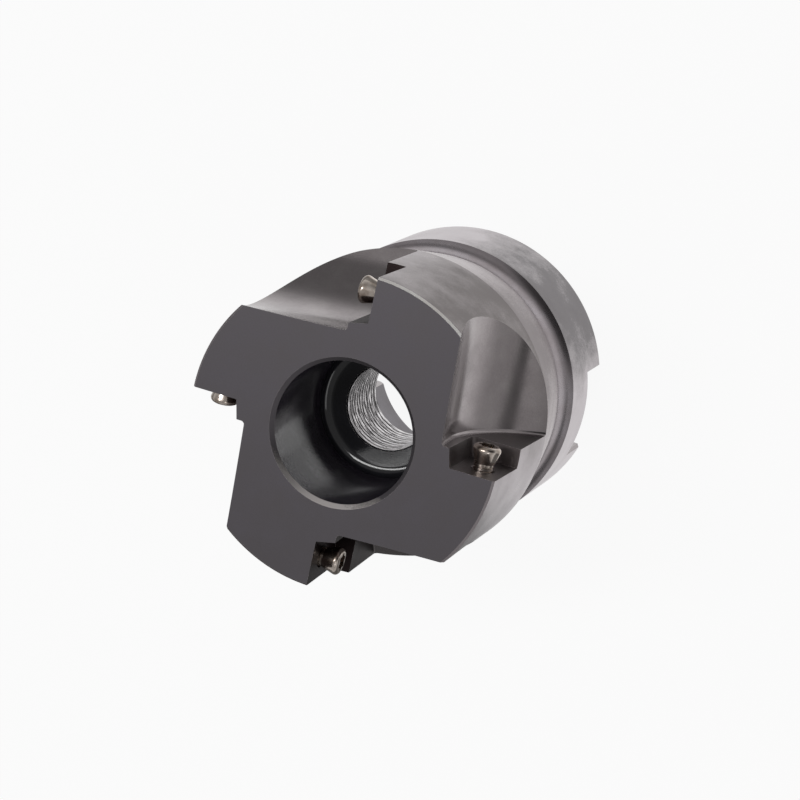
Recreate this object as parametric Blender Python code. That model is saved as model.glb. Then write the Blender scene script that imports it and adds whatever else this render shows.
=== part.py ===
"""Indexable face mill: one turned and milled steel body with four empty insert pockets, and the
four insert screws that stand loose in their seats.

Metres, +Z up. The cutter stands on its rear face with the cutting end up, and the origin is the
centre of that rear face, on the tool's axis. Seen from above it cuts anticlockwise.

Each tooth is laid out in a frame of its own: rho runs outward from the tool's axis, along the
cutting edge; t runs along the direction of cutting; depth runs down from the front face.
"""
import math

import bmesh
import bpy
from mathutils import Matrix, Vector

# Turned outside of the body
HEIGHT = 0.0464
BODY_DIAMETER = 0.0376
BODY_LENGTH = 0.0196
FRONT_EDGE_CHAMFER = 0.00025
NECK_DIAMETER = 0.0334
NECK_FILLET = 0.0024
COLLAR_DIAMETER = 0.0359
COLLAR_LENGTH = 0.0125
REAR_EDGE_CHAMFER = 0.0004

# Bore: counterbore for the arbor screw's head, the screw's hole, and the arbor bore behind
COUNTERBORE_DIAMETER = 0.0168
COUNTERBORE_DEPTH = 0.0167
COUNTERBORE_CHAMFER = 0.0004
COUNTERBORE_FILLET = 0.0006
SCREW_HOLE_DIAMETER = 0.0104
SCREW_HOLE_CHAMFER = 0.0004
ARBOR_BORE_DIAMETER = 0.022
ARBOR_BORE_DEPTH = 0.0193
ARBOR_BORE_CHAMFER = 0.0005

# Slot across the rear face for the arbor's driving keys
DRIVE_SLOT_WIDTH = 0.0104
DRIVE_SLOT_DEPTH = 0.006
DRIVE_SLOT_CHAMFER = 0.0004
DRIVE_SLOT_TURN = math.radians(-1.0)

# Teeth and their insert pockets
TOOTH_COUNT = 4
SEAT_OFFSET = -0.0003
SEAT_WIDTH = 0.0055
SEAT_LENGTH = 0.0092
POCKET_HEIGHT = 0.0023
POCKET_WALL_LEAN = math.radians(12.5)
POCKET_CORNER_RADIUS = 0.0009
AXIAL_RAKE = math.radians(1.8)

# Chip gullet: a round trough milled in front of each tooth, up to the ledge above the pocket
GULLET_RADIUS = 0.0206
GULLET_MIDDLE_DEPTH = 0.0037
GULLET_INWARD_TURN = math.radians(4.5)
GULLET_REARWARD_TILT = math.radians(9.4)
INNER_LEDGE_WIDTH = 0.0013
GULLET_END_FILLET = 0.001

# Insert screws, and how far each one's head stands above its seat
SCREW_THREAD_DIAMETER = 0.0024
SCREW_LENGTH = 0.0065
SCREW_HEAD_DIAMETER = 0.0034
SCREW_HEAD_RIM = 0.00025
SCREW_CONE_LENGTH = 0.0015
SCREW_TIP_CHAMFER = 0.0003
SCREW_RECESS_DIAMETER = 0.0022
SCREW_RECESS_LOBE = 0.00017
SCREW_RECESS_DEPTH = 0.0009
SCREW_FROM_WALL = 0.0028
SCREW_FROM_BACK_WALL = 0.0051
SCREW_STANDING_HEIGHTS = (0.0029, 0.003, 0.0021, 0.0025)
SCREW_CLEARANCE = 0.0003
SCREW_HOLE_SPARE_DEPTH = 0.0012

# Facets of the round surfaces, how far a cutter reaches past what it cuts, the distance under
# which two points are one, and the angle up to which neighbouring facets are shaded as one
BODY_SEGMENTS = 80
GULLET_SEGMENTS = 96
SCREW_SEGMENTS = 24
FILLET_SEGMENTS = 4
LOBE_COUNT = 6
LOBE_POINTS = 6
OVERCUT = 0.002
SAME_POINT = 1e-7
SMOOTH_ANGLE = math.radians(30)

BODY_RADIUS = BODY_DIAMETER / 2
SEAT_INNER_RHO = BODY_RADIUS - SEAT_WIDTH
POCKET_WALL_TOP_RHO = SEAT_INNER_RHO - POCKET_HEIGHT * math.tan(POCKET_WALL_LEAN)
GULLET_FLOOR_RHO = POCKET_WALL_TOP_RHO - INNER_LEDGE_WIDTH
LEDGE_OFFSET = SEAT_OFFSET + POCKET_HEIGHT
TOOTH_PITCH = 2 * math.pi / TOOTH_COUNT


def clear_scene():
    for old in list(bpy.data.objects):
        bpy.data.objects.remove(old, do_unlink=True)


def make_material(name, colour, metallic, roughness):
    material = bpy.data.materials.new(name)
    material.use_nodes = True
    shader = material.node_tree.nodes["Principled BSDF"]
    shader.inputs["Base Color"].default_value = (*colour, 1.0)
    shader.inputs["Metallic"].default_value = metallic
    shader.inputs["Roughness"].default_value = roughness
    return material


def object_from_bmesh(name, mesh_data, smooth_angle=None):
    """Links a new object for mesh_data, with its faces turned outward."""
    bmesh.ops.recalc_face_normals(mesh_data, faces=mesh_data.faces)
    mesh = bpy.data.meshes.new(name)
    mesh_data.to_mesh(mesh)
    mesh_data.free()
    if smooth_angle is not None:
        mesh.shade_smooth()
        mesh.set_sharp_from_angle(angle=smooth_angle)
    piece = bpy.data.objects.new(name, mesh)
    bpy.context.scene.collection.objects.link(piece)
    return piece


def as_cutter(piece):
    piece.hide_render = True
    piece.display_type = "WIRE"
    return piece


def subtract(piece, cutter):
    cut = piece.modifiers.new(cutter.name, "BOOLEAN")
    cut.operation = "DIFFERENCE"
    cut.solver = "EXACT"
    cut.object = cutter


def arc(centre, radius, start, end, steps):
    """Points (r, z) along an arc, both ends included; the angles are in radians from +r."""
    points = []
    for step in range(steps + 1):
        angle = start + (end - start) * step / steps
        points.append((centre[0] + radius * math.cos(angle), centre[1] + radius * math.sin(angle)))
    return points


def turned(name, profile, segments, smooth_angle):
    """Spins a closed outline of (r, z) points about Z; points on the axis close the ends."""
    lathe = bmesh.new()
    corners = []
    for i, (r, z) in enumerate(profile):
        if math.dist((r, z), profile[i - 1]) > SAME_POINT:
            corners.append(lathe.verts.new((r, 0.0, z)))
    outline = [lathe.edges.new((corners[i - 1], corners[i])) for i in range(len(corners))]
    bmesh.ops.spin(lathe, geom=corners + outline, cent=(0, 0, 0), axis=(0, 0, 1),
                   angle=2 * math.pi, steps=segments, use_merge=True)
    bmesh.ops.remove_doubles(lathe, verts=lathe.verts, dist=SAME_POINT)
    axis_edges = [e for e in lathe.edges if not e.link_faces]
    bmesh.ops.delete(lathe, geom=axis_edges, context="EDGES")
    return object_from_bmesh(name, lathe, smooth_angle)


def prism(bottom, top):
    """A closed solid between two loops of as many points; its first face is the bottom loop."""
    solid = bmesh.new()
    low = [solid.verts.new(point) for point in bottom]
    high = [solid.verts.new(point) for point in top]
    solid.faces.new(low)
    solid.faces.new(high)
    for i in range(len(low)):
        solid.faces.new((low[i - 1], low[i], high[i], high[i - 1]))
    return solid


def tooth_point(rho, t, depth):
    """A place in the first tooth's frame, whose cutting edge lies along +X."""
    return Vector((rho, t, HEIGHT - depth))


def tooth_turn(tooth):
    return Matrix.Rotation(tooth * TOOTH_PITCH, 4, "Z")


def raked(t, depth):
    """The seat and the ledge lean back from the cutting direction as they go deeper."""
    return t - depth * math.tan(AXIAL_RAKE)


def turned_body():
    body_end = HEIGHT - BODY_LENGTH
    neck_radius = NECK_DIAMETER / 2
    collar_radius = COLLAR_DIAMETER / 2
    # A fillet wider than the step up to the collar stops at the collar's edge.
    fillet_sweep = math.acos(max(0.0, 1 - (collar_radius - neck_radius) / NECK_FILLET))
    fillet_centre = (neck_radius + NECK_FILLET, COLLAR_LENGTH + NECK_FILLET * math.sin(fillet_sweep))
    outside = [
        (collar_radius - REAR_EDGE_CHAMFER, 0.0),
        (collar_radius, REAR_EDGE_CHAMFER),
        (collar_radius, COLLAR_LENGTH),
        *arc(fillet_centre, NECK_FILLET, fillet_sweep - math.pi, -math.pi, FILLET_SEGMENTS),
        (BODY_RADIUS, body_end),
        (BODY_RADIUS, HEIGHT - FRONT_EDGE_CHAMFER),
        (BODY_RADIUS - FRONT_EDGE_CHAMFER, HEIGHT),
    ]

    counterbore_radius = COUNTERBORE_DIAMETER / 2
    screw_hole_radius = SCREW_HOLE_DIAMETER / 2
    arbor_radius = ARBOR_BORE_DIAMETER / 2
    counterbore_floor = HEIGHT - COUNTERBORE_DEPTH
    inside = [
        (counterbore_radius + COUNTERBORE_CHAMFER, HEIGHT),
        (counterbore_radius, HEIGHT - COUNTERBORE_CHAMFER),
        *arc((counterbore_radius - COUNTERBORE_FILLET, counterbore_floor + COUNTERBORE_FILLET),
             COUNTERBORE_FILLET, 0.0, -math.pi / 2, FILLET_SEGMENTS),
        (screw_hole_radius + SCREW_HOLE_CHAMFER, counterbore_floor),
        (screw_hole_radius, counterbore_floor - SCREW_HOLE_CHAMFER),
        (screw_hole_radius, ARBOR_BORE_DEPTH),
        (arbor_radius, ARBOR_BORE_DEPTH),
        (arbor_radius, ARBOR_BORE_CHAMFER),
        (arbor_radius + ARBOR_BORE_CHAMFER, 0.0),
    ]
    return turned("cutter_body", outside + inside, BODY_SEGMENTS, SMOOTH_ANGLE)


def drive_slot_cutter():
    """A bar across the rear face that flares at both ends to chamfer the slot's upright edges."""
    half_width = DRIVE_SLOT_WIDTH / 2
    flare_start = math.sqrt((COLLAR_DIAMETER / 2) ** 2 - half_width ** 2) - DRIVE_SLOT_CHAMFER
    end = COLLAR_DIAMETER / 2 + OVERCUT
    end_half_width = half_width + end - flare_start
    right_end = [(flare_start, -half_width), (end, -end_half_width),
                 (end, end_half_width), (flare_start, half_width)]
    outline = right_end + [(-x, -y) for x, y in right_end]
    slot = prism([(x, y, -OVERCUT) for x, y in outline],
                 [(x, y, DRIVE_SLOT_DEPTH) for x, y in outline])
    cutter = object_from_bmesh("drive_slot_cutter", slot)
    cutter.matrix_world = Matrix.Rotation(DRIVE_SLOT_TURN, 4, "Z")
    return as_cutter(cutter)


def gullet_cutter():
    """A round bar that ends on the raked ledge and runs out past the body's side."""
    along = Vector((-math.sin(GULLET_INWARD_TURN),
                    math.cos(GULLET_INWARD_TURN) * math.cos(GULLET_REARWARD_TILT),
                    -math.cos(GULLET_INWARD_TURN) * math.sin(GULLET_REARWARD_TILT)))
    outward = Vector((1, 0, 0)) - along * along.x
    outward.normalize()
    forward = outward.cross(along)
    middle = tooth_point(GULLET_FLOOR_RHO + GULLET_RADIUS, LEDGE_OFFSET, GULLET_MIDDLE_DEPTH)
    ledge_point = tooth_point(0, LEDGE_OFFSET, 0)
    ledge_normal = Vector((0, math.cos(AXIAL_RAKE), -math.sin(AXIAL_RAKE)))
    near_loop = []
    far_loop = []
    for i in range(GULLET_SEGMENTS):
        angle = 2 * math.pi * i / GULLET_SEGMENTS
        rim = middle + GULLET_RADIUS * (math.cos(angle) * outward + math.sin(angle) * forward)
        to_ledge = (ledge_point - rim).dot(ledge_normal) / along.dot(ledge_normal)
        near_loop.append(rim + along * to_ledge)
        far_loop.append(rim + along * BODY_DIAMETER)
    bar = prism(near_loop, far_loop)
    bar.faces.ensure_lookup_table()
    bmesh.ops.bevel(bar, geom=list(bar.faces[0].edges), offset=GULLET_END_FILLET,
                    offset_type="OFFSET", segments=FILLET_SEGMENTS, profile=0.5,
                    affect="EDGES")
    return as_cutter(object_from_bmesh("gullet_cutter_1", bar))


def pocket_cutter():
    """The recess for one insert: raked seat, leaning inner wall and upright back wall."""
    centre = (SEAT_INNER_RHO + POCKET_CORNER_RADIUS, SEAT_LENGTH - POCKET_CORNER_RADIUS)
    outer_rho = BODY_RADIUS + OVERCUT
    footprint = [(SEAT_INNER_RHO, -OVERCUT),
                 *arc(centre, POCKET_CORNER_RADIUS, math.pi, math.pi / 2, FILLET_SEGMENTS),
                 (outer_rho, SEAT_LENGTH), (outer_rho, -OVERCUT)]
    height = POCKET_HEIGHT + GULLET_END_FILLET
    lean = height * math.tan(POCKET_WALL_LEAN)
    bottom = []
    top = []
    for rho, depth in footprint:
        wall_share = max(0.0, 1 - (rho - SEAT_INNER_RHO) / POCKET_CORNER_RADIUS)
        bottom.append(tooth_point(rho, raked(SEAT_OFFSET, depth), depth))
        top.append(tooth_point(rho - lean * wall_share, raked(SEAT_OFFSET + height, depth), depth))
    return as_cutter(object_from_bmesh("pocket_cutter_1", prism(bottom, top)))


def screw_frame(standing_height):
    """Places a screw, made with its head's top at the origin and its shank down -Z, in the
    first tooth's seat."""
    depth = SEAT_LENGTH - SCREW_FROM_BACK_WALL
    foot = tooth_point(SEAT_INNER_RHO + SCREW_FROM_WALL, raked(SEAT_OFFSET, depth), depth)
    out_of_seat = Vector((0, math.cos(AXIAL_RAKE), -math.sin(AXIAL_RAKE)))
    turn = Vector((0, 0, 1)).rotation_difference(out_of_seat).to_matrix().to_4x4()
    return Matrix.Translation(foot + out_of_seat * standing_height) @ turn


def screw_hole_cutter():
    radius = SCREW_THREAD_DIAMETER / 2 + SCREW_CLEARANCE
    bottom = -(SCREW_LENGTH - min(SCREW_STANDING_HEIGHTS) + SCREW_HOLE_SPARE_DEPTH)
    drill = turned("screw_hole_cutter_1",
                   [(0.0, bottom), (radius, bottom), (radius, OVERCUT), (0.0, OVERCUT)],
                   SCREW_SEGMENTS, SMOOTH_ANGLE)
    drill.matrix_world = screw_frame(0.0)
    return as_cutter(drill)


def copies_round(cutter, base_name):
    """The first tooth's cutter and its turned copies for the other teeth."""
    first_place = cutter.matrix_world.copy()
    cutters = [cutter]
    for tooth in range(1, TOOTH_COUNT):
        copy = bpy.data.objects.new(f"{base_name}_{tooth + 1}", cutter.data)
        bpy.context.scene.collection.objects.link(copy)
        copy.matrix_world = tooth_turn(tooth) @ first_place
        cutters.append(as_cutter(copy))
    return cutters


def make_cutter_body():
    body = turned_body()
    subtract(body, drive_slot_cutter())
    for cutter in copies_round(gullet_cutter(), "gullet_cutter"):
        subtract(body, cutter)
    for cutter in copies_round(pocket_cutter(), "pocket_cutter"):
        subtract(body, cutter)
    for cutter in copies_round(screw_hole_cutter(), "screw_hole_cutter"):
        subtract(body, cutter)
    body.data.materials.append(
        make_material("black_oxide_steel", (0.095, 0.090, 0.092), 0.85, 0.38))
    return body


def recess_cutter():
    """The six-lobed socket in a screw's head."""
    points = []
    count = LOBE_COUNT * LOBE_POINTS
    middle_radius = SCREW_RECESS_DIAMETER / 2 - SCREW_RECESS_LOBE
    for i in range(count):
        angle = 2 * math.pi * i / count
        radius = middle_radius + SCREW_RECESS_LOBE * math.cos(LOBE_COUNT * angle)
        points.append((radius * math.cos(angle), radius * math.sin(angle)))
    socket = prism([(x, y, -SCREW_RECESS_DEPTH) for x, y in points],
                   [(x, y, OVERCUT) for x, y in points])
    return as_cutter(object_from_bmesh("screw_recess_cutter", socket))


def make_insert_screws():
    head_radius = SCREW_HEAD_DIAMETER / 2
    thread_radius = SCREW_THREAD_DIAMETER / 2
    profile = [
        (0.0, 0.0),
        (head_radius, 0.0),
        (head_radius, -SCREW_HEAD_RIM),
        (thread_radius, -SCREW_HEAD_RIM - SCREW_CONE_LENGTH),
        (thread_radius, -SCREW_LENGTH + SCREW_TIP_CHAMFER),
        (thread_radius - SCREW_TIP_CHAMFER, -SCREW_LENGTH),
        (0.0, -SCREW_LENGTH),
    ]
    nickel = make_material("plated_screw_steel", (0.42, 0.36, 0.31), 1.0, 0.30)
    recess = recess_cutter()
    for tooth, standing_height in enumerate(SCREW_STANDING_HEIGHTS[:TOOTH_COUNT]):
        screw = turned(f"insert_screw_{tooth + 1}", profile, SCREW_SEGMENTS, SMOOTH_ANGLE)
        screw.matrix_world = tooth_turn(tooth) @ screw_frame(standing_height)
        own_recess = bpy.data.objects.new(f"screw_recess_cutter_{tooth + 1}", recess.data)
        bpy.context.scene.collection.objects.link(own_recess)
        own_recess.matrix_world = screw.matrix_world.copy()
        subtract(screw, as_cutter(own_recess))
        screw.data.materials.append(nickel)
    bpy.data.objects.remove(recess, do_unlink=True)


clear_scene()
make_cutter_body()
make_insert_screws()
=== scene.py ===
"""Indexable face mill, dressed for its photograph: one blackened steel body with empty insert
pockets and four small screws that stand loose in the seats.

Metres, +Z up. The cutter stands on its rear face; the cutting end looks up at the camera.
Each tooth has a frame of its own: rho runs outward along the cutting edge, t runs along the
direction of cutting, depth runs down from the front face. Tooth 1 lies along +X.
"""
import math

import bmesh
import bpy
from mathutils import Matrix, Vector


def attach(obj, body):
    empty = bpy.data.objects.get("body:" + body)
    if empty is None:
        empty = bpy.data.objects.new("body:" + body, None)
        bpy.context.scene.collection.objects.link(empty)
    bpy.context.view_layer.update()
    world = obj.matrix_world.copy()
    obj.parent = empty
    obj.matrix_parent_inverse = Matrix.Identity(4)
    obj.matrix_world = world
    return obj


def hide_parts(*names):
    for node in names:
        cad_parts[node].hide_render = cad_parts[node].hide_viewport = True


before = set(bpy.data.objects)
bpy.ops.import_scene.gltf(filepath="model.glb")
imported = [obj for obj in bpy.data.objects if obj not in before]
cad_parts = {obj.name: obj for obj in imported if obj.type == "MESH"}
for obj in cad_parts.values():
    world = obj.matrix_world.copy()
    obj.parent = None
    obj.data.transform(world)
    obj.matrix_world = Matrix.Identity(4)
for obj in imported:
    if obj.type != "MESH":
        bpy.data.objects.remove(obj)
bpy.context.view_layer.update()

MM = 0.001

# The body's outside, from the front face down to the rear one
HEIGHT = 46.4 * MM
BODY_RADIUS = 18.8 * MM
BODY_LENGTH = 19.6 * MM
FRONT_CHAMFER = 0.25 * MM
NECK_RADIUS = 16.7 * MM
NECK_FILLET = 3.3 * MM
COLLAR_RADIUS = 17.95 * MM
COLLAR_LENGTH = 12.5 * MM
REAR_CHAMFER = 0.4 * MM
SLOT_WIDTH = 10.4 * MM
SLOT_DEPTH = 6.0 * MM
SLOT_CHAMFER = 0.4 * MM
SLOT_TURN = math.radians(-1.0)
EDGE_BREAK = 0.09 * MM

# The body's inside, from the front face down to the rear one
COUNTERBORE_RADIUS = 8.4 * MM
COUNTERBORE_DEPTH = 16.7 * MM
MOUTH_CHAMFER = 0.5 * MM
WALL_CORNER_RADIUS = 0.78 * MM
WALL_CORNER_SWEEP = 65
FLOOR_CORNER_RADIUS = 2.56 * MM
HOLE_RADIUS = 5.2 * MM
HOLE_CHAMFER = 0.15 * MM
ARBOR_RADIUS = 11.0 * MM
ARBOR_DEPTH = 19.3 * MM
ARBOR_CHAMFER = 0.5 * MM

# Torn rings in the bare hole, each tipped by so many degrees
FIRST_RING = 1.0 * MM
RING_PITCH = 0.85 * MM
RING_WIDTH = 0.3 * MM
RING_DEPTH = 0.07 * MM
RING_TILTS = (0.9, -0.6, 1.4, 0.3, -1.1, 1.7, 0.8, -0.4, 1.2, 0.5, -0.7)

# The teeth
TEETH = 4
SEAT_T = -0.3 * MM
SEAT_RHO = 13.3 * MM
SEAT_LENGTH = 9.2 * MM
POCKET_HEIGHT = 2.3 * MM
POCKET_CORNER = 0.9 * MM
WALL_LEAN = math.radians(12.5)
RAKE = math.radians(1.8)
GULLET_RADIUS = 20.6 * MM
GULLET_DEPTH = 3.7 * MM
GULLET_PATH = 80 * MM
GULLET_TURN = math.radians(4.5)
GULLET_TILT = math.radians(9.4)
LEDGE_WIDTH = 1.3 * MM
LEDGE_FILLET = 0.4 * MM

# The screws' places in their seats, how far they stand out and how they are turned, in degrees
SCREW_RHO = SEAT_RHO + 2.8 * MM
SCREW_DEPTH = SEAT_LENGTH - 5.1 * MM
SCREW_STANDS = (2.9 * MM, 3.0 * MM, 2.1 * MM, 2.5 * MM)
SCREW_TWISTS = (12, 41, 23, 55)
TAP_RADIUS = 1.28 * MM
TAP_DEPTH = 5.6 * MM
SINK_RADIUS = 1.6 * MM
SINK_DEPTH = 0.15 * MM

# One insert screw
SCREW_LENGTH = 6.5 * MM
TIP_RADIUS = 0.8 * MM
TIP_CHAMFER = 0.3 * MM
THREAD_RADIUS = 1.2 * MM
THREAD_ROOT = 1.03 * MM
THREAD_PITCH = 0.45 * MM
THREAD_TURNS = 9
THREAD_SHOULDER = 0.05 * MM
HEAD_RADIUS = 1.66 * MM
HEAD_CONE_LENGTH = 1.6 * MM
HEAD_ROUNDING = 0.5 * MM
SOCKET_RADIUS = 0.84 * MM
SOCKET_DEPTH = 0.9 * MM
LOBES = 6
LOBE_RADIUS = 0.27 * MM
LOBE_REACH = 0.82 * MM

# How far a cutter reaches out past the steel, and how close to a plane counts as on it
REACH = 2 * MM
NEAR = 0.01 * MM

# Facets of the round pieces; the angle that counts as a sharp edge, and those that shade smooth
BODY_FACETS = 256
GULLET_FACETS = 288
TAP_FACETS = 48
SCREW_FACETS = 64
SOCKET_FACETS = 32
SHARP_ANGLE = math.radians(28)
BODY_SMOOTH_ANGLE = math.radians(9)
SCREW_SMOOTH_ANGLE = math.radians(20)

# Where the finishes change: heights, degrees round from +X, and shares of a bore's radius
BLASTED_FROM = COLLAR_LENGTH + 2.5 * MM
# The front chamfer carries a painted highlight between these degrees round from +X.
HIGHLIGHT_FROM, HIGHLIGHT_TO = 12, 115
JUST_INSIDE, JUST_OUTSIDE = 0.999, 1.01

# The white paper, as the metal sees it: where its glow starts and stops falling, and what is left of
# it, by the distance from the cutter and past two edges, each with the way it faces. The second
# edge, on the -Y side, is a painted shadow: it dims the glow where the cutter's own shadow falls.
PAPER_RADIUS = 3.0
PAPER_FAR = (36 * MM, 72 * MM, 0.48)
PAPER_EDGES_AND_SHADOW = (((-0.5, 0.87, 0), 40 * MM, 62 * MM, 0.42),
               ((0.2, -0.98, 0), 23 * MM, 32 * MM, 0.2))
PAPER_GLOW_SHARE = 0.92

# The room: how bright it is level with the cutter and overhead, and the way to its one dark
# corner, which fades in between two cosines off that way
ROOM_HORIZON = 0.56
ROOM_OVERHEAD = 0.39
OVERHEAD_FROM = 0.5
DARK_CORNER = (0.656, 0.656, 0.375)
DARK_CORNER_EDGE = (0.80, 0.92)
DARK_CORNER_LEVEL = 0.1

# The camera looks at a place on the front face
CAMERA_AIM = (5.91 * MM, 5.77 * MM, HEIGHT)
CAMERA_AZIMUTH = 43.22
CAMERA_ELEVATION = 68.66
CAMERA_ROLL = -118.75
CAMERA_DISTANCE = 388.1 * MM
CAMERA_LENS = 153.8
CAMERA_SENSOR = 36
SOFTBOX_DISTANCE = 0.5


def alone(piece):
    """Selects one piece, and nothing else, and makes it the active one."""
    bpy.ops.object.select_all(action="DESELECT")
    piece.select_set(True)
    bpy.context.view_layer.objects.active = piece


def new_piece(name):
    """Names the primitive just added, and puts its place in its mesh."""
    piece = bpy.context.object
    piece.name = name
    piece.data.name = name
    alone(piece)
    bpy.ops.object.transform_apply(location=True, rotation=True, scale=True)
    return piece


def pick(piece, wanted, mode):
    """In edit mode, selects the corners, edges or faces whose corners all pass the test."""
    bpy.ops.mesh.select_mode(type=mode)
    bpy.ops.mesh.select_all(action="DESELECT")
    mesh = bmesh.from_edit_mesh(piece.data)
    if mode == "VERT":
        for corner in mesh.verts:
            corner.select_set(wanted(corner.co))
    else:
        for part in (mesh.edges if mode == "EDGE" else mesh.faces):
            part.select_set(all(wanted(corner.co) for corner in part.verts))
    mesh.select_flush_mode()
    bmesh.update_edit_mesh(piece.data)


def arc(centre, radius, start, end, steps):
    """Corners (r, z) along an arc, both ends included, angles in degrees from +r."""
    turns = [math.radians(start + (end - start) * step / steps) for step in range(steps + 1)]
    return [(centre[0] + radius * math.cos(turn), centre[1] + radius * math.sin(turn))
            for turn in turns]


def turn_ring_by_ring(name, profile, facets, filled=False):
    """Turned work: a circle at the first corner of the profile, extruded and sized to each next
    corner. A profile that comes back to its first corner closes on itself."""
    radius, height = profile[0]
    bpy.ops.object.select_all(action="DESELECT")
    bpy.ops.mesh.primitive_circle_add(vertices=facets, radius=radius, location=(0, 0, height),
                                      fill_type="NGON" if filled else "NOTHING")
    piece = new_piece(name)
    bpy.ops.object.mode_set(mode="EDIT")
    bpy.ops.mesh.select_all(action="SELECT")
    for next_radius, next_height in profile[1:]:
        bpy.ops.mesh.extrude_region_move(
            TRANSFORM_OT_translate={"value": (0, 0, next_height - height)})
        ratio = next_radius / radius
        bpy.ops.transform.resize(value=(ratio, ratio, 1), center_override=(0, 0, next_height))
        radius, height = next_radius, next_height
    bpy.ops.mesh.select_all(action="SELECT")
    bpy.ops.mesh.remove_doubles(threshold=0.001 * MM)
    bpy.ops.mesh.normals_make_consistent(inside=False)
    bpy.ops.object.mode_set(mode="OBJECT")
    return piece


def apply_last(piece, modifier):
    """Makes a modifier's work part of the piece's mesh."""
    alone(piece)
    bpy.ops.object.modifier_apply(modifier=modifier.name)


def merge_close(piece, distance):
    """Merges the corners that a join or a cut left almost on top of each other."""
    alone(piece)
    bpy.ops.object.mode_set(mode="EDIT")
    bpy.ops.mesh.select_all(action="SELECT")
    bpy.ops.mesh.remove_doubles(threshold=distance)
    bpy.ops.object.mode_set(mode="OBJECT")


def cut_away(piece, cutter):
    """Takes the cutter's shape out of the piece; the cut faces get the cutter's finish."""
    cut = piece.modifiers.new("cut", "BOOLEAN")
    cut.operation = "DIFFERENCE"
    cut.solver = "EXACT"
    cut.material_mode = "TRANSFER"
    cut.object = cutter
    apply_last(piece, cut)
    bpy.data.objects.remove(cutter, do_unlink=True)


def copy_of(piece, name, place):
    """A copy with a mesh of its own, moved by a matrix that goes into the mesh."""
    copy = piece.copy()
    copy.data = piece.data.copy()
    copy.name = name
    copy.data.name = name
    copy.data.transform(place)
    bpy.context.scene.collection.objects.link(copy)
    return copy


def tooth_turn(tooth):
    """The turn from the first tooth's frame to another's; the first tooth is 0 here."""
    return Matrix.Rotation(math.radians(360 / TEETH) * tooth, 4, "Z")


def tooth_point(rho, t, depth):
    """A place in the first tooth's frame."""
    return Vector((rho, t, HEIGHT - depth))


# Finishes


def linear(hex_colour):
    """An sRGB hex colour as the linear values that shaders take."""
    channels = [int(hex_colour[i:i + 2], 16) / 255 for i in (1, 3, 5)]
    return (*[c / 12.92 if c <= 0.04045 else ((c + 0.055) / 1.055) ** 2.4 for c in channels], 1)


def add_node(tree, kind, settings=None, values=None, links=None):
    """Adds a node; settings are its properties, values fill its inputs, links feed its inputs
    from (node, output)."""
    node = tree.nodes.new(kind)
    for key, value in (settings or {}).items():
        setattr(node, key, value)
    for key, value in (values or {}).items():
        node.inputs[key].default_value = value
    for key, (source, output) in (links or {}).items():
        tree.links.new(source.outputs[output], node.inputs[key])
    return node


def new_finish(name, metallic, roughness):
    """A material with its Principled shader's own values set."""
    finish = bpy.data.materials.new(name)
    finish.use_nodes = True
    shader = finish.node_tree.nodes["Principled BSDF"]
    shader.inputs["Metallic"].default_value = metallic
    shader.inputs["Roughness"].default_value = roughness
    return finish, finish.node_tree, shader


def run_round_axis(tree, place, drift):
    """Coordinates for turned marks: they run along the axis, and move on by only the drift for
    each radian round it."""
    split = add_node(tree, "ShaderNodeSeparateXYZ", None, None, {"Vector": (place, "Object")})
    angle = add_node(tree, "ShaderNodeMath", {"operation": "ARCTAN2"}, None,
                     {0: (split, "Y"), 1: (split, "X")})
    around = add_node(tree, "ShaderNodeMath", {"operation": "MULTIPLY"}, {1: drift},
                      {0: (angle, "Value")})
    return add_node(tree, "ShaderNodeCombineXYZ", None, None,
                    {"X": (around, "Value"), "Z": (split, "Z")})


def tone_ramp(tree, source, output, tones, low, high):
    """A colour ramp from the darkest to the lightest tone, between two levels of its source."""
    ramp = add_node(tree, "ShaderNodeValToRGB", None, None, {"Fac": (source, output)})
    steps = ramp.color_ramp.elements
    while len(steps) < len(tones):
        steps.new(0.5)
    for index, tone in enumerate(tones):
        steps[index].position = low + (high - low) * index / (len(tones) - 1)
        steps[index].color = linear(tone)
    return ramp


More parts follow.
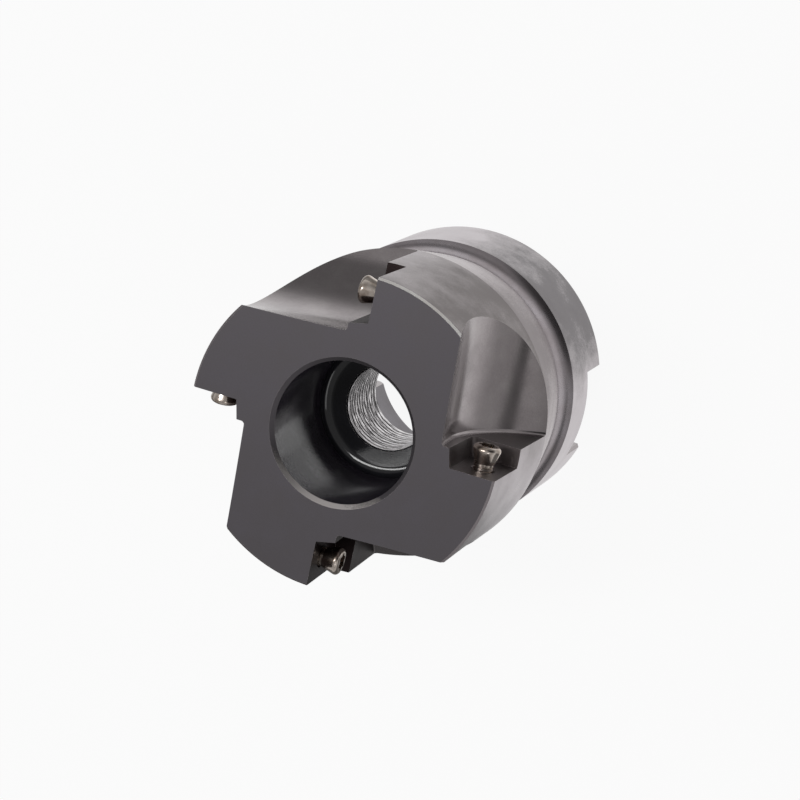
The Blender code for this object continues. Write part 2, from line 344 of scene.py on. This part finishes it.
def black_oxide(name, tones, roughness, marks, relief=0.12, paler=(0, 0, 0), metallic=1.0,
                spread=0.14, lift=0.0):
    """Alloy steel in a hot black oxide bath: a satin grey skin a micron thick that keeps the
    marks of the cut under it, with faint warm and cool clouds and a drier, paler grain.

    The tones lie within the spread on either side of the clouds' middle level. Paler is how much
    that level rises for each metre along x, y and z. It is painted light and shade that makes one
    side of a surface paler and the other darker. Lift is how much the level rises all over."""
    finish, tree, shader = new_finish(name, metallic, roughness)
    place = add_node(tree, "ShaderNodeTexCoord")
    # Clouds some 5 mm across, where the bath took differently.
    clouds = add_node(tree, "ShaderNodeTexNoise", None,
                      {"Scale": 1 / (5 * MM), "Detail": 4.0, "Roughness": 0.6},
                      {"Vector": (place, "Object")})
    # Real grit of the blasted skin is 0.05 mm; drawn at 0.2 mm so that it shows.
    grain = add_node(tree, "ShaderNodeTexNoise", None,
                     {"Scale": 1 / (0.2 * MM), "Detail": 2.0, "Roughness": 0.6},
                     {"Vector": (place, "Object")})
    mottle = add_node(tree, "ShaderNodeMix", {"data_type": "FLOAT"},
                      {"Factor": 0.55 if marks == "grit" else 0.25},
                      {"A": (clouds, "Fac"), "B": (grain, "Fac")})
    # Painted light and shade: the level rises along paler, so one side comes out paler and the other
    # darker.
    side = add_node(tree, "ShaderNodeVectorMath", {"operation": "DOT_PRODUCT"}, {1: paler},
                    {0: (place, "Object")})
    lifted = add_node(tree, "ShaderNodeMath", {"operation": "ADD"}, {1: lift},
                      {0: (side, "Value")})
    level = add_node(tree, "ShaderNodeMath", {"operation": "ADD"}, None,
                     {0: (mottle, "Result"), 1: (lifted, "Value")})
    tint = tone_ramp(tree, level, "Value", tones, 0.5 - spread, 0.5 + spread)
    tree.links.new(tint.outputs["Color"], shader.inputs["Base Color"])
    # The darker clouds are a little duller.
    rough = add_node(tree, "ShaderNodeMapRange", None,
                     {"From Min": 0.36, "From Max": 0.64, "To Min": roughness + 0.05,
                      "To Max": roughness - 0.03}, {"Value": (mottle, "Result")})
    tree.links.new(rough.outputs["Result"], shader.inputs["Roughness"])
    height = grain
    if marks == "turned":
        # Feed marks run round the axis, 0.25 mm apart.
        along = run_round_axis(tree, place, 4 * MM)
        height = add_node(tree, "ShaderNodeTexNoise", None,
                          {"Scale": 1 / (0.25 * MM), "Detail": 2.0, "Roughness": 0.5},
                          {"Vector": (along, "Vector")})
    bump = add_node(tree, "ShaderNodeBump", None,
                    {"Strength": relief, "Distance": 0.02 * MM}, {"Height": (height, "Fac")})
    tree.links.new(bump.outputs["Normal"], shader.inputs["Normal"])
    return finish


def bright_bored_steel():
    """Bare steel where a boring tool took the black skin off: bright, with dark torn rings."""
    finish, tree, shader = new_finish("bored_bare_steel", 1.0, 0.34)
    place = add_node(tree, "ShaderNodeTexCoord")
    along = run_round_axis(tree, place, 1.1 * MM)
    # The torn rings are as wide as those in the mesh, and wander a little.
    streaks = add_node(tree, "ShaderNodeTexNoise", None,
                       {"Scale": 1 / RING_WIDTH, "Detail": 4.0, "Roughness": 0.6,
                        "Distortion": 0.35},
                       {"Vector": (along, "Vector")})
    # Darker towards -X and +Y, paler towards +X and -Y.
    side = add_node(tree, "ShaderNodeVectorMath", {"operation": "DOT_PRODUCT"},
                    {1: (8, -14, 0)}, {0: (place, "Object")})
    level = add_node(tree, "ShaderNodeMath", {"operation": "ADD"}, None,
                     {0: (streaks, "Fac"), 1: (side, "Value")})
    tint = tone_ramp(tree, level, "Value", ("#1A1819", "#8A8687", "#FBF8F9"), 0.38, 0.60)
    tree.links.new(tint.outputs["Color"], shader.inputs["Base Color"])
    bump = add_node(tree, "ShaderNodeBump", None, {"Strength": 0.8, "Distance": 0.05 * MM},
                    {"Height": (streaks, "Fac")})
    tree.links.new(bump.outputs["Normal"], shader.inputs["Normal"])
    return finish


def plated_screw_steel():
    """Hard steel with a thin nickel plate: warm and polished, a little browner and duller in
    stains about a millimetre across."""
    finish, tree, shader = new_finish("nickel_plated_screw", 1.0, 0.2)
    place = add_node(tree, "ShaderNodeTexCoord")
    stains = add_node(tree, "ShaderNodeTexNoise", None,
                      {"Scale": 1 / (1.1 * MM), "Detail": 2.0, "Roughness": 0.5},
                      {"Vector": (place, "Object")})
    tint = tone_ramp(tree, stains, "Fac", ("#A6978B", "#DACFC6"), 0.35, 0.62)
    tree.links.new(tint.outputs["Color"], shader.inputs["Base Color"])
    rough = add_node(tree, "ShaderNodeMapRange", None, {"To Min": 0.28, "To Max": 0.14},
                     {"Value": (stains, "Fac")})
    tree.links.new(rough.outputs["Result"], shader.inputs["Roughness"])
    return finish


# The neck's fillet, turned smooth: a soft sheen that runs along it.
turned_skin = black_oxide("turned_black_oxide", ("#958D8F", "#9D9699", "#A7A1A5"), 0.27, "turned")
# The cutting end's outside: turned oxide. It carries painted shade, darkest between the first two
# teeth, and painted light, paler on the far side of the axis.
land_skin_and_shade = black_oxide("turned_land_oxide_painted_shade", ("#605857", "#867E7F", "#A29A9D"), 0.30, "turned",
                        paler=(-48, -57, 0), spread=0.3, lift=1.12)
# The collar: turned oxide in paler tones, with painted shade darkest between the first two teeth and
# painted light on the far side of the axis.
collar_skin_and_shade = black_oxide("turned_collar_oxide_painted_shade", ("#6A6567", "#A19B9D", "#BDB6B9"), 0.33, "turned",
                          paler=(-58, -69, 0), spread=0.2, lift=1.37)
# The gullets and the drive slot: a fine milled surface, so the skin shines in long clear bands.
milled_skin = black_oxide("milled_black_oxide", ("#8F8889", "#979091", "#9F9999"), 0.16, "milled")
# The front face and the arbor bore: ground, an even satin grey with hardly a cloud.
ground_skin = black_oxide("ground_black_oxide", ("#696568", "#6D696D", "#726E73"), 0.34, "ground")
# The insert pockets and ledges: a dull warm brown-black oxide, darkened further as painted shade in
# the hollows, and paler round the first tooth as painted light.
pocket_skin_and_shade = black_oxide("pocket_oxide_painted_shade", ("#322A2A", "#3A3232", "#7A7373"), 0.42, "ground",
                          relief=0.4, paler=(24, 6, -4))
# The counterbore's wall: the oxide is thick and oily there, so it shines like dark glass, over
# the rings of the boring tool.
bored_skin = black_oxide("bored_black_oxide", ("#343038", "#3F3A43", "#4C4650"), 0.14, "turned",
                         relief=0.6, metallic=0.0)
# The counterbore's corner and floor: the same oily oxide, burnished by the tool's nose, so that
# it shows the mouth as thin bright lines.
corner_skin = black_oxide("burnished_corner_oxide", ("#1E1E22", "#242428", "#2C2C31"), 0.07,
                          "ground", relief=0.03, metallic=0.0)
# The chamfer of the mouth: a grey that turns pale towards -Y, a painted highlight on that side.
mouth_skin_and_highlight = black_oxide("mouth_oxide_painted_highlight", ("#6D696D", "#A8A3A1", "#DCD6D4"), 0.46, "ground",
                         paler=(-12, -104, -15))
# The cone: blasted with grit, a pale and dry grey without a sheen. Painted shade makes it darkest
# between the first two teeth, and painted light makes it paler elsewhere.
blasted_skin_and_light = black_oxide("blasted_oxide_painted_light", ("#958D8E", "#C5BEBF", "#DCD6D7"), 0.5, "grit",
                           relief=0.5, paler=(-98, -77, 0), spread=0.3, lift=1.9)
# Broken edges, where the skin is brushed through to a dull pale steel.
worn_skin = black_oxide("worn_edge_steel", ("#ADA6A5", "#B8B2B0", "#C4BEBD"), 0.46, "ground")
# A stretch of the front chamfer in near-white rough steel: a painted highlight that shows from every
# side.
edge_highlight_skin = black_oxide("painted_highlight_edge", ("#EFECEA", "#F5F3F1", "#FAF9F8"), 0.85, "ground")
bare_steel = bright_bored_steel()
screw_plate = plated_screw_steel()


# The body


def ring_tops():
    """Heights of the torn rings' middles, from the counterbore's floor down the bare hole."""
    top = HEIGHT - COUNTERBORE_DEPTH - FIRST_RING
    return [top - RING_PITCH * ring for ring in range(len(RING_TILTS))]


def body_profile():
    """The body's corners from the rear face up the outside and back down the bores."""
    sweep = math.degrees(math.acos(1 - (COLLAR_RADIUS - NECK_RADIUS) / NECK_FILLET))
    neck_centre = (NECK_RADIUS + NECK_FILLET,
                   COLLAR_LENGTH + NECK_FILLET * math.sin(math.radians(sweep)))
    floor = HEIGHT - COUNTERBORE_DEPTH
    outside = [
        (COLLAR_RADIUS - REAR_CHAMFER, 0), (COLLAR_RADIUS, REAR_CHAMFER),
        (COLLAR_RADIUS, COLLAR_LENGTH),
        *arc(neck_centre, NECK_FILLET, sweep - 180, -180, steps=12),
        (BODY_RADIUS, HEIGHT - BODY_LENGTH),
        (BODY_RADIUS, HEIGHT - FRONT_CHAMFER), (BODY_RADIUS - FRONT_CHAMFER, HEIGHT),
    ]
    rings = []
    for middle in ring_tops():
        rings += [(HOLE_RADIUS, middle + RING_WIDTH / 2), (HOLE_RADIUS + RING_DEPTH, middle),
                  (HOLE_RADIUS, middle - RING_WIDTH / 2)]
    # The corner of the counterbore: a small radius off the wall, a larger one onto the floor.
    # The larger one starts 3 degrees on, so that the two don't share a corner.
    turned = math.radians(WALL_CORNER_SWEEP)
    blend_radius = COUNTERBORE_RADIUS - WALL_CORNER_RADIUS * (1 - math.cos(turned))
    floor_centre = (blend_radius - FLOOR_CORNER_RADIUS * math.cos(turned),
                    floor + FLOOR_CORNER_RADIUS)
    wall_centre = (COUNTERBORE_RADIUS - WALL_CORNER_RADIUS, floor_centre[1]
                   + (WALL_CORNER_RADIUS - FLOOR_CORNER_RADIUS) * math.sin(turned))
    inside = [
        (COUNTERBORE_RADIUS + MOUTH_CHAMFER, HEIGHT), (COUNTERBORE_RADIUS, HEIGHT - MOUTH_CHAMFER),
        *arc(wall_centre, WALL_CORNER_RADIUS, 0, -WALL_CORNER_SWEEP, steps=12),
        *arc(floor_centre, FLOOR_CORNER_RADIUS, -WALL_CORNER_SWEEP - 3, -90, steps=8),
        (HOLE_RADIUS + HOLE_CHAMFER, floor), (HOLE_RADIUS, floor - HOLE_CHAMFER), *rings,
        (HOLE_RADIUS, ARBOR_DEPTH), (ARBOR_RADIUS, ARBOR_DEPTH),
        (ARBOR_RADIUS, ARBOR_CHAMFER), (ARBOR_RADIUS + ARBOR_CHAMFER, 0),
    ]
    return outside + inside + outside[:1]


def tilt_rings(body):
    """Tips each torn ring a little, so that the rings close up and spread like real tearing."""
    alone(body)
    bpy.ops.object.mode_set(mode="EDIT")
    for middle, tilt in zip(ring_tops(), RING_TILTS):
        pick(body, lambda p: abs(p.z - middle) < 0.6 * RING_WIDTH and p.xy.length < ARBOR_RADIUS / 2,
             "VERT")
        bpy.ops.transform.rotate(value=math.radians(tilt), orient_axis="X",
                                 center_override=(0, 0, middle))
    bpy.ops.object.mode_set(mode="OBJECT")


def finish_at(place):
    """The finish of the turned surface at a place on it."""
    radius, height = place.xy.length, place.z
    around = math.degrees(math.atan2(place.y, place.x)) % 360
    hole_top = HEIGHT - COUNTERBORE_DEPTH - HOLE_CHAMFER
    if height > HEIGHT - NEAR:
        return ground_skin
    if radius < COUNTERBORE_RADIUS + MOUTH_CHAMFER and height > HEIGHT - MOUTH_CHAMFER:
        return mouth_skin_and_highlight
    if radius < HOLE_RADIUS + RING_DEPTH and ARBOR_DEPTH < height < hole_top:
        return bare_steel
    if radius < COUNTERBORE_RADIUS * JUST_OUTSIDE and height > hole_top:
        return corner_skin if radius < COUNTERBORE_RADIUS * JUST_INSIDE else bored_skin
    if radius < ARBOR_RADIUS * JUST_OUTSIDE:
        return ground_skin
    # The front chamfer's painted highlight.
    if height > HEIGHT - FRONT_CHAMFER and HIGHLIGHT_FROM < around < HIGHLIGHT_TO:
        return edge_highlight_skin
    if height > HEIGHT - BODY_LENGTH:
        return land_skin_and_shade
    if height < COLLAR_LENGTH:
        return collar_skin_and_shade
    return blasted_skin_and_light if height > BLASTED_FROM else turned_skin


def give_finishes(body):
    """Each turned surface gets its own finish before the mills cut into it; the last one in the
    list is for the broken edges."""
    finishes = [turned_skin, land_skin_and_shade, collar_skin_and_shade, blasted_skin_and_light, ground_skin, edge_highlight_skin,
                mouth_skin_and_highlight, bored_skin, corner_skin, bare_steel, worn_skin]
    for finish in finishes:
        body.data.materials.append(finish)
    for face in body.data.polygons:
        face.material_index = finishes.index(finish_at(face.center))


def drive_slot_cutter():
    """A block across the rear face; its end faces flare out to chamfer the slot's edges."""
    start = math.sqrt(COLLAR_RADIUS ** 2 - (SLOT_WIDTH / 2) ** 2) - SLOT_CHAMFER
    bpy.ops.object.select_all(action="DESELECT")
    bpy.ops.mesh.primitive_cube_add(size=1, location=(0, 0, (SLOT_DEPTH - REACH) / 2),
                                    scale=(2 * start, SLOT_WIDTH, SLOT_DEPTH + REACH))
    cutter = new_piece("slot_cutter")
    bpy.ops.object.mode_set(mode="EDIT")
    for side in (-1, 1):
        pick(cutter, lambda p: p.x * side > start - NEAR, "FACE")
        bpy.ops.mesh.extrude_region_move(TRANSFORM_OT_translate={"value": (side * REACH, 0, 0)})
        bpy.ops.transform.resize(value=(1, 1 + 2 * REACH / SLOT_WIDTH, 1),
                                 center_override=(0, 0, 0))
    bpy.ops.mesh.select_all(action="SELECT")
    bpy.ops.mesh.normals_make_consistent(inside=False)
    bpy.ops.object.mode_set(mode="OBJECT")
    cutter.data.transform(Matrix.Rotation(SLOT_TURN, 4, "Z"))
    cutter.data.materials.append(milled_skin)
    return cutter


def gullet_cutter():
    """The round end mill's path: a long bar cut off at the raked ledge, with a rounded rim."""
    wall_top_rho = SEAT_RHO - POCKET_HEIGHT * math.tan(WALL_LEAN)
    floor_rho = wall_top_rho - LEDGE_WIDTH
    along = Vector((-math.sin(GULLET_TURN),
                    math.cos(GULLET_TURN) * math.cos(GULLET_TILT),
                    -math.cos(GULLET_TURN) * math.sin(GULLET_TILT)))
    ledge_t = SEAT_T + POCKET_HEIGHT
    middle = tooth_point(floor_rho + GULLET_RADIUS, ledge_t, GULLET_DEPTH)
    ledge = tooth_point(0, ledge_t, 0)
    ledge_normal = Vector((0, math.cos(RAKE), -math.sin(RAKE)))
    bpy.ops.object.select_all(action="DESELECT")
    bpy.ops.mesh.primitive_cylinder_add(vertices=GULLET_FACETS, radius=GULLET_RADIUS,
                                        depth=GULLET_PATH,
                                        location=middle + along * GULLET_PATH / 4,
                                        rotation=along.to_track_quat("Z", "X").to_euler())
    cutter = new_piece("gullet_cutter")
    bpy.ops.object.mode_set(mode="EDIT")
    bpy.ops.mesh.select_all(action="SELECT")
    bpy.ops.mesh.bisect(plane_co=ledge, plane_no=ledge_normal, use_fill=True, clear_inner=True)
    pick(cutter, lambda p: abs((p - ledge).dot(ledge_normal)) < NEAR, "EDGE")
    bpy.ops.mesh.bevel(offset=LEDGE_FILLET, segments=14, profile=0.5, affect="EDGES")
    bpy.ops.object.mode_set(mode="OBJECT")
    cutter.data.materials.append(milled_skin)
    cutter.data.materials.append(pocket_skin_and_shade)
    for face in cutter.data.polygons:
        # The ledge takes the pockets' dark tones, painted shade.
        face.material_index = 1 if abs(face.normal.dot(ledge_normal)) > 0.99 else 0
    return cutter


def pocket_cutter():
    """The insert's place: a block with a leaning inner side and one rounded upright edge."""
    height = POCKET_HEIGHT + LEDGE_FILLET
    outer = BODY_RADIUS + REACH
    bpy.ops.object.select_all(action="DESELECT")
    bpy.ops.mesh.primitive_cube_add(
        size=1, location=tooth_point((SEAT_RHO + outer) / 2, SEAT_T + height / 2,
                                     (SEAT_LENGTH - REACH) / 2),
        scale=(outer - SEAT_RHO, height, SEAT_LENGTH + REACH))
    cutter = new_piece("pocket_cutter")
    bottom = HEIGHT - SEAT_LENGTH + NEAR
    bpy.ops.object.mode_set(mode="EDIT")
    pick(cutter, lambda p: p.x < SEAT_RHO + NEAR and p.y > SEAT_T + NEAR, "VERT")
    bpy.ops.transform.translate(value=(-height * math.tan(WALL_LEAN), 0, 0))
    pick(cutter, lambda p: p.z < bottom, "VERT")
    bpy.ops.transform.translate(value=(0, -SEAT_LENGTH * math.tan(RAKE), 0))
    pick(cutter, lambda p: p.z > bottom, "VERT")
    bpy.ops.transform.translate(value=(0, REACH * math.tan(RAKE), 0))
    pick(cutter, lambda p: p.z < bottom and p.x < SEAT_RHO + NEAR, "EDGE")
    bpy.ops.mesh.bevel(offset=POCKET_CORNER, segments=12, profile=0.5, affect="EDGES")
    bpy.ops.object.mode_set(mode="OBJECT")
    cutter.data.materials.append(pocket_skin_and_shade)
    return cutter


def screw_place(stands):
    """Where a screw stands in the first tooth's seat, its head's top at the mesh's origin."""
    foot = tooth_point(SCREW_RHO, SEAT_T - SCREW_DEPTH * math.tan(RAKE), SCREW_DEPTH)
    out = Vector((0, math.cos(RAKE), -math.sin(RAKE)))
    turn = Vector((0, 0, 1)).rotation_difference(out).to_matrix().to_4x4()
    return Matrix.Translation(foot + out * stands) @ turn


def tapped_hole_cutter():
    """The drilled and tapped hole in the seat, with its small countersink."""
    cutter = turn_ring_by_ring(
        "tapped_hole_cutter",
        [(TAP_RADIUS, -TAP_DEPTH), (TAP_RADIUS, -SINK_DEPTH),
         (SINK_RADIUS, SINK_RADIUS - TAP_RADIUS - SINK_DEPTH), (SINK_RADIUS, REACH / 2)],
        TAP_FACETS, filled=True)
    cutter.data.transform(screw_place(0))
    cutter.data.materials.append(pocket_skin_and_shade)
    return cutter


def make_body():
    """The turned blank, milled like the real one: the slot, then gullet, pocket and screw hole
    at each tooth."""
    body = turn_ring_by_ring("milled_body", body_profile(), BODY_FACETS)
    tilt_rings(body)
    give_finishes(body)
    cut_away(body, drive_slot_cutter())
    for make_cutter in (gullet_cutter, pocket_cutter, tapped_hole_cutter):
        cutter = make_cutter()
        for tooth in range(TEETH):
            cut_away(body, copy_of(cutter, "turned_cutter", tooth_turn(tooth)))
        bpy.data.objects.remove(cutter, do_unlink=True)
    return body


def finish_edges(body):
    """Breaks the sharp edges a little, as a deburring brush does; the skin is worn there."""
    merge_close(body, 0.008 * MM)
    breaks = body.modifiers.new("broken_edges", "BEVEL")
    breaks.limit_method = "ANGLE"
    breaks.angle_limit = SHARP_ANGLE
    breaks.width = EDGE_BREAK
    breaks.segments = 2
    breaks.material = body.data.materials.find(worn_skin.name)
    apply_last(body, breaks)
    bpy.ops.object.shade_smooth_by_angle(angle=BODY_SMOOTH_ANGLE)


body = make_body()
finish_edges(body)
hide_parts("cutter_body")
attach(body, "root")


# The screws


def add_thread(screw):
    """A helical ridge with closed ends, sunk a little into the shank and joined to it."""
    ridge_height = THREAD_RADIUS - THREAD_ROOT
    start = (THREAD_ROOT + ridge_height / 3, 0, TIP_CHAMFER - SCREW_LENGTH)
    bpy.ops.object.select_all(action="DESELECT")
    bpy.ops.mesh.primitive_circle_add(vertices=3, radius=ridge_height, fill_type="NOTHING",
                                      location=start, rotation=(math.radians(90), 0, 0))
    ridge = new_piece("thread_ridge")
    bpy.ops.object.mode_set(mode="EDIT")
    bpy.ops.mesh.select_all(action="SELECT")
    bpy.ops.transform.rotate(value=math.radians(90), orient_axis="Y", center_override=start)
    bpy.ops.object.mode_set(mode="OBJECT")
    helix = ridge.modifiers.new("helix", "SCREW")
    helix.axis = "Z"
    helix.angle = math.radians(360)
    helix.screw_offset = THREAD_PITCH
    helix.iterations = THREAD_TURNS
    helix.steps = 32
    apply_last(ridge, helix)
    bpy.ops.object.mode_set(mode="EDIT")
    bpy.ops.mesh.select_all(action="SELECT")
    bpy.ops.mesh.fill_holes(sides=3)
    bpy.ops.mesh.normals_make_consistent(inside=False)
    bpy.ops.object.mode_set(mode="OBJECT")
    ridge.data.materials.append(screw_plate)
    join = screw.modifiers.new("join", "BOOLEAN")
    join.operation = "UNION"
    join.solver = "EXACT"
    join.object = ridge
    apply_last(screw, join)
    bpy.data.objects.remove(ridge, do_unlink=True)


def sink_socket(screw):
    """Sinks the six lobes round the socket's middle, and then the middle."""
    turns = [math.radians(360 / LOBES) * lobe for lobe in range(LOBES)]
    holes = [(LOBE_RADIUS, LOBE_REACH * math.cos(turn), LOBE_REACH * math.sin(turn))
             for turn in turns]
    for radius, x, y in holes + [(SOCKET_RADIUS, 0, 0)]:
        bpy.ops.object.select_all(action="DESELECT")
        bpy.ops.mesh.primitive_cylinder_add(vertices=SOCKET_FACETS, radius=radius,
                                            depth=2 * SOCKET_DEPTH, location=(x, y, 0))
        socket_cutter = new_piece("socket_cutter")
        socket_cutter.data.materials.append(screw_plate)
        cut_away(screw, socket_cutter)


def make_screw():
    """An insert screw: six-lobed socket in a slim flared head, and a thread down to its tip."""
    neck = -HEAD_ROUNDING - HEAD_CONE_LENGTH
    screw = turn_ring_by_ring("screw_model", [
        (TIP_RADIUS, -SCREW_LENGTH), (THREAD_ROOT, TIP_CHAMFER - SCREW_LENGTH),
        (THREAD_ROOT, neck - THREAD_SHOULDER), (THREAD_RADIUS, neck),
        *arc((HEAD_RADIUS - HEAD_ROUNDING, -HEAD_ROUNDING), HEAD_ROUNDING, -16, 90, steps=10),
    ], SCREW_FACETS, filled=True)
    screw.data.materials.append(screw_plate)
    add_thread(screw)
    merge_close(screw, 0.0005 * MM)
    sink_socket(screw)
    return screw


screw_model = make_screw()
for tooth, stands in enumerate(SCREW_STANDS):
    twist = Matrix.Rotation(math.radians(SCREW_TWISTS[tooth]), 4, "Z")
    screw = copy_of(screw_model, f"screw_{tooth + 1}",
                    tooth_turn(tooth) @ screw_place(stands) @ twist)
    alone(screw)
    bpy.ops.object.shade_smooth_by_angle(angle=SCREW_SMOOTH_ANGLE)
    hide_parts(f"insert_screw_{tooth + 1}")
    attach(screw, "root")
bpy.data.objects.remove(screw_model, do_unlink=True)


# Stage, light and camera


def make_stage():
    """White paper that reads as white to the eye and in the metal, and keeps a soft shadow. The
    metal sees it dim farther out and past one edge. It also sees it dim past a second edge on the -Y
    side, which is a painted shadow of the cutter."""
    bpy.ops.object.select_all(action="DESELECT")
    bpy.ops.mesh.primitive_circle_add(vertices=96, radius=PAPER_RADIUS, fill_type="NGON",
                                      location=(0, 0, 0))
    floor = new_piece("studio_floor")
    paper = bpy.data.materials.new("white_paper")
    paper.use_nodes = True
    tree = paper.node_tree
    tree.nodes.clear()
    path = add_node(tree, "ShaderNodeLightPath")
    seen = add_node(tree, "ShaderNodeMath", {"operation": "MAXIMUM"}, None,
                    {0: (path, "Is Camera Ray"), 1: (path, "Is Glossy Ray")})
    seen = add_node(tree, "ShaderNodeMath", {"operation": "MAXIMUM"}, None,
                    {0: (seen, "Value"), 1: (path, "Is Transmission Ray")})
    place = add_node(tree, "ShaderNodeTexCoord")
    distance = add_node(tree, "ShaderNodeVectorMath", {"operation": "LENGTH"}, None,
                        {0: (place, "Object")})
    far_start, far_end, far_level = PAPER_FAR
    far = add_node(tree, "ShaderNodeMapRange", {"interpolation_type": "SMOOTHSTEP"},
                   {"From Min": far_start, "From Max": far_end, "To Min": 1.0,
                    "To Max": far_level}, {"Value": (distance, "Value")})
    level = (far, "Result")
    # The second of these is a painted shadow of the cutter in the paper's glow.
    for facing_way, start, end, edge_level in PAPER_EDGES_AND_SHADOW:
        across = add_node(tree, "ShaderNodeVectorMath", {"operation": "DOT_PRODUCT"},
                          {1: facing_way}, {0: (place, "Object")})
        edge = add_node(tree, "ShaderNodeMapRange", {"interpolation_type": "SMOOTHSTEP"},
                        {"From Min": start, "From Max": end, "To Min": 1.0, "To Max": edge_level},
                        {"Value": (across, "Value")})
        level = (add_node(tree, "ShaderNodeMath", {"operation": "MULTIPLY"}, None,
                          {0: level, 1: (edge, "Result")}), "Value")
    # The camera itself sees plain white all over.
    level = (add_node(tree, "ShaderNodeMath", {"operation": "MAXIMUM"}, None,
                      {0: level, 1: (path, "Is Camera Ray")}), "Value")
    strength = add_node(tree, "ShaderNodeMath", {"operation": "MULTIPLY"}, None,
                        {0: (seen, "Value"), 1: level})
    glow = add_node(tree, "ShaderNodeEmission", None,
                    {"Color": (1, 1, 1, 1)}, {"Strength": (strength, "Value")})
    plain = add_node(tree, "ShaderNodeBsdfDiffuse", None, {"Color": (0.9, 0.9, 0.9, 1)})
    mix = add_node(tree, "ShaderNodeMixShader", None, {"Fac": PAPER_GLOW_SHARE},
                   {1: (plain, "BSDF"), 2: (glow, "Emission")})
    add_node(tree, "ShaderNodeOutputMaterial", None, None, {"Surface": (mix, "Shader")})
    floor.data.materials.append(paper)


def make_world():
    """A white room that is dimmer overhead, where the camera stands, with one dark corner. The
    camera sees it as plain white."""
    world = bpy.data.worlds.new("white_room")
    bpy.context.scene.world = world
    world.use_nodes = True
    tree = world.node_tree
    room = tree.nodes["Background"]
    room.inputs["Color"].default_value = (1, 1, 1, 1)
    way = add_node(tree, "ShaderNodeTexCoord")
    split = add_node(tree, "ShaderNodeSeparateXYZ", None, None, {"Vector": (way, "Generated")})
    level = add_node(tree, "ShaderNodeMapRange", {"interpolation_type": "SMOOTHSTEP"},
                     {"From Min": 0.0, "From Max": OVERHEAD_FROM, "To Min": ROOM_HORIZON,
                      "To Max": ROOM_OVERHEAD}, {"Value": (split, "Z")})
    towards = add_node(tree, "ShaderNodeVectorMath", {"operation": "DOT_PRODUCT"},
                       {1: DARK_CORNER}, {0: (way, "Generated")})
    edge_start, edge_end = DARK_CORNER_EDGE
    corner = add_node(tree, "ShaderNodeMapRange", {"interpolation_type": "SMOOTHSTEP"},
                      {"From Min": edge_start, "From Max": edge_end, "To Min": 1.0,
                       "To Max": DARK_CORNER_LEVEL}, {"Value": (towards, "Value")})
    strength = add_node(tree, "ShaderNodeMath", {"operation": "MULTIPLY"}, None,
                        {0: (level, "Result"), 1: (corner, "Result")})
    path = add_node(tree, "ShaderNodeLightPath")
    strength = add_node(tree, "ShaderNodeMath", {"operation": "MAXIMUM"}, None,
                        {0: (strength, "Value"), 1: (path, "Is Camera Ray")})
    tree.links.new(strength.outputs["Value"], room.inputs["Strength"])


def facing(target, azimuth, elevation, distance, roll):
    """The place at this azimuth and elevation, in degrees, from which a lamp or a camera faces
    the target, rolled by some degrees."""
    around, above = math.radians(azimuth), math.radians(elevation)
    way = Vector((math.cos(above) * math.cos(around), math.cos(above) * math.sin(around),
                  math.sin(above)))
    turn = way.to_track_quat("Z", "Y").to_matrix().to_4x4()
    tip = Matrix.Rotation(math.radians(roll), 4, "Z")
    return Matrix.Translation(Vector(target) + way * distance) @ turn @ tip


def add_softbox(name, azimuth, elevation, width, height, roll, brightness):
    """A softbox that faces the cutter. Its power goes with its area, so that a larger box is as
    bright in the metal as a smaller one."""
    lamp = bpy.data.lights.new(name, "AREA")
    lamp.shape = "RECTANGLE"
    lamp.size = width
    lamp.size_y = height
    lamp.energy = brightness * math.pi * width * height
    box = bpy.data.objects.new(name, lamp)
    bpy.context.scene.collection.objects.link(box)
    box.matrix_world = facing((0, 0, HEIGHT / 2), azimuth, elevation, SOFTBOX_DISTANCE, roll)


def make_camera():
    """The photograph's view: 21 degrees off the tool's axis, with a long lens."""
    lens = bpy.data.cameras.new("camera")
    lens.sensor_width = CAMERA_SENSOR
    lens.lens = CAMERA_LENS
    lens.clip_start = 0.01
    camera = bpy.data.objects.new("camera", lens)
    bpy.context.scene.collection.objects.link(camera)
    camera.matrix_world = facing(CAMERA_AIM, CAMERA_AZIMUTH, CAMERA_ELEVATION, CAMERA_DISTANCE,
                                 CAMERA_ROLL)
    bpy.context.scene.camera = camera


make_stage()
make_world()
add_softbox("left_softbox", 140, 71, width=0.27, height=0.06, roll=-27, brightness=11)
add_softbox("right_softbox", -29, 58, width=0.24, height=0.06, roll=31, brightness=1.7)
make_camera()
bpy.context.scene.view_settings.view_transform = "Standard"
